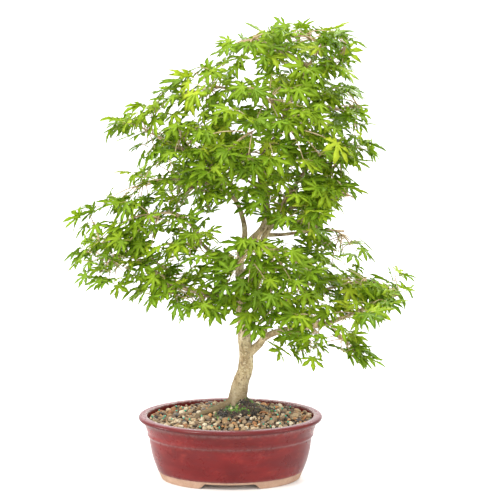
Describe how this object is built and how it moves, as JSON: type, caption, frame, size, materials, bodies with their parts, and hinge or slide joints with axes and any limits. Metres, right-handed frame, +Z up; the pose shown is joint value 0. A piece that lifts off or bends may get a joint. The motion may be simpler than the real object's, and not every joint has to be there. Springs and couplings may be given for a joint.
{
  "type": "bonsai tree in a pot",
  "caption": "Japanese maple bonsai with lobed green leaves, growing in gravel-topped soil in an oval red-glazed stoneware pot.",
  "frame": {"origin": "middle of the bounding box, on the surface that the pot's foot stands on", "axes": "+Z up the tree, +X to the right of the tree seen from its front, +Y away from the front"},
  "size_m": [0.5926, 0.3542, 0.7467],
  "materials": {
    "red_glaze": "glossy brick-red glaze with mauve breaks at the edges, bare tan clay on the foot",
    "screen_mesh": "matte black plastic mesh",
    "wire": "satin",
    "bark": "matte pale tan bark with fine speckles",
    "dark_soil": "matte dark brown composted bark and grit",
    "tan_gravel": "matte tan, cream and grey grit",
    "moss": "matte dark green moss and humus",
    "maple_leaf": "satin green leaf, lighter on new growth"
  },
  "bodies": {
    "root": {"drainage_screen_left": "screen_mesh", "drainage_screen_right": "screen_mesh", "gravel_top_dressing": "tan_gravel", "moss_cushion": "moss", "pot": "red_glaze", "potting_soil": "dark_soil", "root_tie_wire": "wire", "screen_clip_left": "wire", "screen_clip_right": "wire", "shoot_back_high_1": "maple_leaf", "shoot_back_low_1": "maple_leaf", "shoot_back_mid_1": "maple_leaf", "shoot_crown_left_1": "maple_leaf", "shoot_crown_left_2": "maple_leaf", "shoot_crown_right_1": "maple_leaf", "shoot_crown_right_2": "maple_leaf", "shoot_front_high_1": "maple_leaf", "shoot_front_high_2": "maple_leaf", "shoot_front_mid_1": "maple_leaf", "shoot_front_mid_2": "maple_leaf", "shoot_left_leader_1": "maple_leaf", "shoot_left_leader_2": "maple_leaf", "shoot_left_leader_3": "maple_leaf", "shoot_low_left_1": "maple_leaf", "shoot_low_left_2": "maple_leaf", "shoot_low_left_3": "maple_leaf", "shoot_low_left_4": "maple_leaf", "shoot_low_left_5": "maple_leaf", "shoot_low_left_6": "maple_leaf", "shoot_low_right_1": "maple_leaf", "shoot_low_right_2": "maple_leaf", "shoot_low_right_3": "maple_leaf", "shoot_low_right_4": "maple_leaf", "shoot_low_right_5": "maple_leaf", "shoot_low_right_rise_1": "maple_leaf", "shoot_low_right_rise_2": "maple_leaf", "shoot_low_right_rise_3": "maple_leaf", "shoot_low_right_rise_4": "maple_leaf", "shoot_mid_left_1": "maple_leaf", "shoot_mid_left_2": "maple_leaf", "shoot_mid_left_3": "maple_leaf", "shoot_right_leader_1": "maple_leaf", "shoot_right_leader_2": "maple_leaf", "shoot_right_leader_3": "maple_leaf", "shoot_right_leader_4": "maple_leaf", "shoot_right_low_mid_1": "maple_leaf", "shoot_right_low_mid_2": "maple_leaf", "shoot_right_mid_1": "maple_leaf", "shoot_right_mid_2": "maple_leaf", "shoot_second_left_1": "maple_leaf", "shoot_second_left_2": "maple_leaf", "shoot_top_left_1": "maple_leaf", "shoot_top_left_2": "maple_leaf", "shoot_top_right_1": "maple_leaf", "shoot_upper_left_1": "maple_leaf", "shoot_upper_left_2": "maple_leaf", "shoot_upper_left_3": "maple_leaf", "shoot_upper_left_4": "maple_leaf", "trunk_and_boughs": "bark"}
  },
  "joints": []
}
